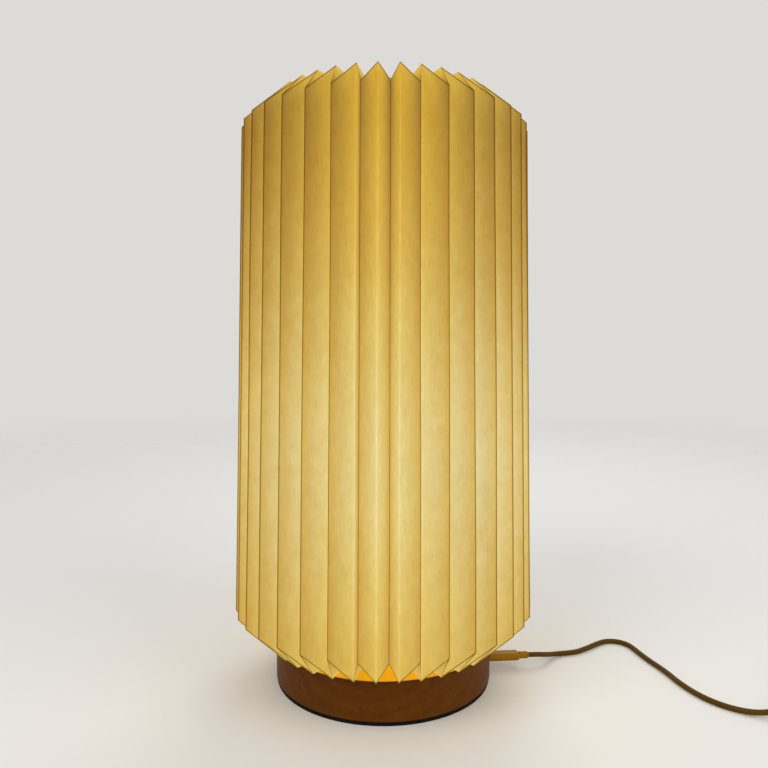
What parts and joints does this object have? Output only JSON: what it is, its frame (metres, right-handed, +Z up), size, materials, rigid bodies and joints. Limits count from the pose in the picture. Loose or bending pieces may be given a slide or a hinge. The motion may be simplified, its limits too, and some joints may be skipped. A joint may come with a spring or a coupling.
{
  "type": "table lamp",
  "caption": "Pleated paper table lamp on a round turned wooden base, lit from inside by a screw-in bulb, with a plug-in lead that carries an inline rocker switch.",
  "frame": {"origin": "middle of the pad's underside, on the lamp's axis", "axes": "+Z up along the lamp's axis, -Y towards the viewer, +X to the right, where the lead leaves the base"},
  "size_m": [0.4795, 0.2052, 0.3964],
  "materials": {
    "paper": "matte, lit from inside",
    "card": "matte",
    "wood": "satin, clear lacquer",
    "pad": "matte",
    "steel": "brushed",
    "disc": "matte, fibreboard",
    "white_plastic": "satin",
    "cord_plastic": "satin",
    "cord_skin": "satin",
    "black_plastic": "satin",
    "green_board": "solder mask",
    "board_sheet": "fibre sheet",
    "chips": "matte",
    "red_wire": "gloss",
    "black_wire": "gloss",
    "brass": "satin",
    "ceramic": "matte",
    "aluminium": "satin",
    "tin": "satin",
    "led_board": "satin",
    "led": "gloss",
    "opal": "opal, lit"
  },
  "bodies": {
    "base": {"wood_base": "wood", "base_pad": "pad", "bottom_plate": "steel", "plate_screws": "steel", "locating_disc": "disc", "port_bezel": "black_plastic", "usb_socket": "steel", "socket_tongue": "black_plastic", "driver_board": "green_board", "insulating_sheet": "board_sheet", "board_parts": "chips", "board_screws": "steel", "wire_live": "red_wire", "wire_return": "black_wire", "threaded_stem": "brass", "stem_washer": "steel", "stem_nuts": "brass", "holder_cap": "white_plastic", "holder_body": "white_plastic", "holder_insert": "ceramic", "screw_shell": "brass", "centre_contact": "brass"},
    "shade": {"paper_shade": "paper", "paper_bottom_flange": "paper", "paper_top_flange": "paper", "top_hoop": "card", "bottom_hoop": "card"},
    "bulb_foot": {"bulb_tip": "tin"},
    "bulb": {"bulb_insulator": "black_plastic", "bulb_cap": "aluminium", "bulb_neck": "white_plastic", "led_plate": "led_board", "led_chips": "led", "bulb_globe": "opal"},
    "cord_set": {"plug_shell": "steel", "plug_body": "cord_plastic", "plug_relief": "cord_plastic", "cord_lead": "cord_skin", "switch_base": "cord_plastic", "switch_cover": "cord_plastic", "rocker_pin": "steel", "switch_screws": "steel", "switch_terminals": "brass", "switch_reliefs": "cord_plastic", "cord_link": "cord_skin", "cord_coil": "cord_skin", "cord_tie": "black_plastic", "cord_tail": "cord_skin", "far_plug_body": "cord_plastic", "far_plug_shell": "steel", "far_plug_tongue": "white_plastic"},
    "rocker": {"switch_rocker": "white_plastic"}
  },
  "joints": [
    {"name": "shade_lift", "type": "slide", "parent": "base", "child": "shade", "axis": [0, 0, 1], "range_m": [0, 0.14]},
    {"name": "bulb_rise", "type": "slide", "parent": "base", "child": "bulb_foot", "axis": [0, 0, 1], "range_m": [0, 0.0182]},
    {"name": "bulb_unscrew", "type": "hinge", "parent": "bulb_foot", "child": "bulb", "pos_m": [0, 0, 0.072], "axis": [0, 0, 1], "range_deg": [0, 1800]},
    {"name": "plug_pull", "type": "slide", "parent": "base", "child": "cord_set", "axis": [0.9962, 0.0872, 0], "range_m": [0, 0.009]},
    {"name": "switch_rocker_tilt", "type": "hinge", "parent": "cord_set", "child": "rocker", "pos_m": [0.286, -0.066, 0.01], "axis": [0, -1, 0], "range_deg": [0, 20]}
  ],
  "couplings": [
    {"joint": "bulb_rise", "follows": "bulb_unscrew", "m_per_rad": 0.00057614}
  ]
}
